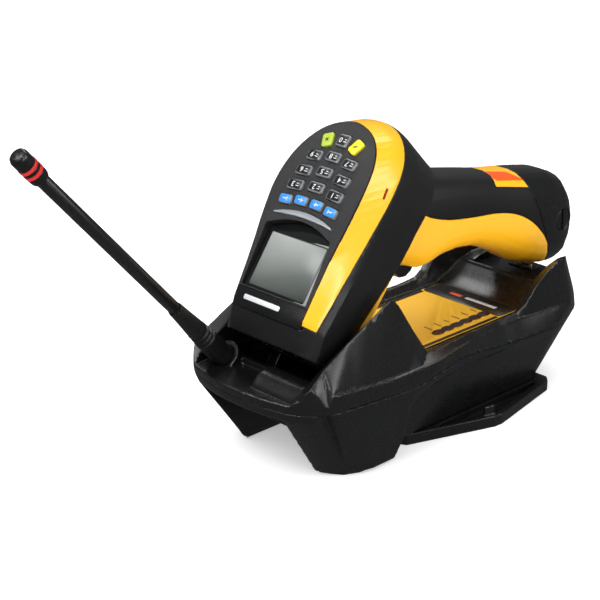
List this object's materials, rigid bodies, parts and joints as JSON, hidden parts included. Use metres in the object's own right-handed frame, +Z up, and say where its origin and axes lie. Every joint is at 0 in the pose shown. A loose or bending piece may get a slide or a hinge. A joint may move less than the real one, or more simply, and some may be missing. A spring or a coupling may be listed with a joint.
{
  "type": "hand-held barcode scanner",
  "caption": "Cordless pistol-grip barcode scanner with display and keypad, docked nose down in a charging base station that has a stiff whip antenna.",
  "frame": {"origin": "on the ground, under the middle of the base station's bracket plate", "axes": "+Z up, -Y towards the antenna end and the scanner's nose, +Y towards the handle's butt"},
  "size_m": [0.122, 0.3796, 0.2009],
  "materials": {
    "black_plastic": "satin moulded plastic with a fine spark-eroded grain",
    "black_rubber": "soft matt overmould",
    "textured_panel": "fine diamond grain",
    "yellow_plastic": "semi-gloss moulded plastic",
    "grey_key": "satin key with a pale moulded rim",
    "blue_key": "satin key",
    "green_key": "satin key",
    "yellow_key": "satin key",
    "silver_plastic": "silver-grey lacquer",
    "red_plastic": "gloss moulded plastic",
    "display_glass": "glossy grey-green liquid-crystal window",
    "smoked_window": "polished dark filter",
    "circuit_board": "solder-resist green",
    "steel": "plated steel",
    "gold": "gold-plated",
    "label_film": "printed polyester film",
    "cell_wrap": "shrink wrap"
  },
  "bodies": {
    "base": {"upper_housing": "black_plastic", "lower_housing": "black_plastic", "wall_bracket": "black_plastic", "rubber_foot_right": "black_rubber", "rubber_foot_left": "black_rubber", "case_screw_right": "steel", "case_screw_left": "steel", "deck_label": "label_film", "status_lights": "smoked_window", "radio_board": "circuit_board", "contact_block": "black_plastic", "host_socket": "black_plastic", "power_jack": "steel", "antenna_boot": "black_rubber", "antenna_stud": "steel", "antenna_whip": "black_plastic", "antenna_tip": "black_plastic", "antenna_ring_lower": "red_plastic", "antenna_ring_upper": "red_plastic"},
    "scanner": {"head_housing": "black_rubber", "face_cover": "textured_panel", "front_strip": "black_plastic", "yellow_band": "yellow_plastic", "status_led": "red_plastic", "light_bar": "silver_plastic", "display_glass": "display_glass", "lcd_module": "circuit_board", "key_mat": "black_rubber", "main_board": "circuit_board", "scan_window": "smoked_window", "scan_engine": "steel", "engine_lens": "display_glass", "handle_housing": "yellow_plastic", "grip_cover": "black_rubber", "handle_patch": "yellow_plastic", "battery_cap": "black_plastic", "battery_pack": "cell_wrap", "trigger_spring": "steel", "trigger_switch": "black_plastic", "trigger_pin": "steel"},
    "trigger": {"trigger": "black_plastic"},
    "cap_screw": {"cap_screw": "steel"},
    "contact_pin_right": {"contact_pin_right": "gold"},
    "contact_pin_left": {"contact_pin_left": "gold"},
    "key_f1": {"key_f1": "blue_key"},
    "key_f2": {"key_f2": "blue_key"},
    "key_f3": {"key_f3": "blue_key"},
    "key_f4": {"key_f4": "blue_key"},
    "key_1": {"key_1": "grey_key"},
    "key_2": {"key_2": "grey_key"},
    "key_3": {"key_3": "grey_key"},
    "key_4": {"key_4": "grey_key"},
    "key_5": {"key_5": "grey_key"},
    "key_6": {"key_6": "grey_key"},
    "key_7": {"key_7": "grey_key"},
    "key_8": {"key_8": "grey_key"},
    "key_9": {"key_9": "grey_key"},
    "key_0": {"key_0": "grey_key"},
    "key_green": {"key_green": "green_key"},
    "key_yellow": {"key_yellow": "yellow_key"}
  },
  "joints": [
    {"name": "scanner_lift", "type": "slide", "parent": "base", "child": "scanner", "axis": [0, 0, 1], "range_m": [0, 0.15]},
    {"name": "trigger_pull", "type": "hinge", "parent": "scanner", "child": "trigger", "pos_m": [0, -0.0095, 0.1075], "axis": [1, 0, 0], "range_deg": [0, 7], "stiffness_Nm_per_rad": 0.4, "springref_deg": -2.86},
    {"name": "cap_screw_turn", "type": "hinge", "parent": "scanner", "child": "cap_screw", "pos_m": [0.0208, 0.128, 0.0935], "axis": [1, 0, 0], "range_deg": [0, 90]},
    {"name": "contact_right_press", "type": "slide", "parent": "base", "child": "contact_pin_right", "axis": [0, 0, -1], "range_m": [0, 0.001], "stiffness_N_per_m": 400, "springref_m": -0.0005},
    {"name": "contact_left_press", "type": "slide", "parent": "base", "child": "contact_pin_left", "axis": [0, 0, -1], "range_m": [0, 0.001], "stiffness_N_per_m": 400, "springref_m": -0.0005},
    {"name": "key_f1_press", "type": "slide", "parent": "scanner", "child": "key_f1", "axis": [0, 0.809, -0.5878], "range_m": [0, 0.001], "stiffness_N_per_m": 500, "springref_m": -0.0005},
    {"name": "key_f2_press", "type": "slide", "parent": "scanner", "child": "key_f2", "axis": [0, 0.809, -0.5878], "range_m": [0, 0.001], "stiffness_N_per_m": 500, "springref_m": -0.0005},
    {"name": "key_f3_press", "type": "slide", "parent": "scanner", "child": "key_f3", "axis": [0, 0.809, -0.5878], "range_m": [0, 0.001], "stiffness_N_per_m": 500, "springref_m": -0.0005},
    {"name": "key_f4_press", "type": "slide", "parent": "scanner", "child": "key_f4", "axis": [0, 0.809, -0.5878], "range_m": [0, 0.001], "stiffness_N_per_m": 500, "springref_m": -0.0005},
    {"name": "key_1_press", "type": "slide", "parent": "scanner", "child": "key_1", "axis": [0, 0.809, -0.5878], "range_m": [0, 0.001], "stiffness_N_per_m": 500, "springref_m": -0.0005},
    {"name": "key_2_press", "type": "slide", "parent": "scanner", "child": "key_2", "axis": [0, 0.809, -0.5878], "range_m": [0, 0.001], "stiffness_N_per_m": 500, "springref_m": -0.0005},
    {"name": "key_3_press", "type": "slide", "parent": "scanner", "child": "key_3", "axis": [0, 0.809, -0.5878], "range_m": [0, 0.001], "stiffness_N_per_m": 500, "springref_m": -0.0005},
    {"name": "key_4_press", "type": "slide", "parent": "scanner", "child": "key_4", "axis": [0, 0.809, -0.5878], "range_m": [0, 0.001], "stiffness_N_per_m": 500, "springref_m": -0.0005},
    {"name": "key_5_press", "type": "slide", "parent": "scanner", "child": "key_5", "axis": [0, 0.809, -0.5878], "range_m": [0, 0.001], "stiffness_N_per_m": 500, "springref_m": -0.0005},
    {"name": "key_6_press", "type": "slide", "parent": "scanner", "child": "key_6", "axis": [0, 0.809, -0.5878], "range_m": [0, 0.001], "stiffness_N_per_m": 500, "springref_m": -0.0005},
    {"name": "key_7_press", "type": "slide", "parent": "scanner", "child": "key_7", "axis": [0, 0.809, -0.5878], "range_m": [0, 0.001], "stiffness_N_per_m": 500, "springref_m": -0.0005},
    {"name": "key_8_press", "type": "slide", "parent": "scanner", "child": "key_8", "axis": [0, 0.809, -0.5878], "range_m": [0, 0.001], "stiffness_N_per_m": 500, "springref_m": -0.0005},
    {"name": "key_9_press", "type": "slide", "parent": "scanner", "child": "key_9", "axis": [0, 0.809, -0.5878], "range_m": [0, 0.001], "stiffness_N_per_m": 500, "springref_m": -0.0005},
    {"name": "key_0_press", "type": "slide", "parent": "scanner", "child": "key_0", "axis": [0, 0.809, -0.5878], "range_m": [0, 0.001], "stiffness_N_per_m": 500, "springref_m": -0.0005},
    {"name": "key_green_press", "type": "slide", "parent": "scanner", "child": "key_green", "axis": [0, 0.809, -0.5878], "range_m": [0, 0.001], "stiffness_N_per_m": 500, "springref_m": -0.0005},
    {"name": "key_yellow_press", "type": "slide", "parent": "scanner", "child": "key_yellow", "axis": [0, 0.809, -0.5878], "range_m": [0, 0.001], "stiffness_N_per_m": 500, "springref_m": -0.0005}
  ]
}
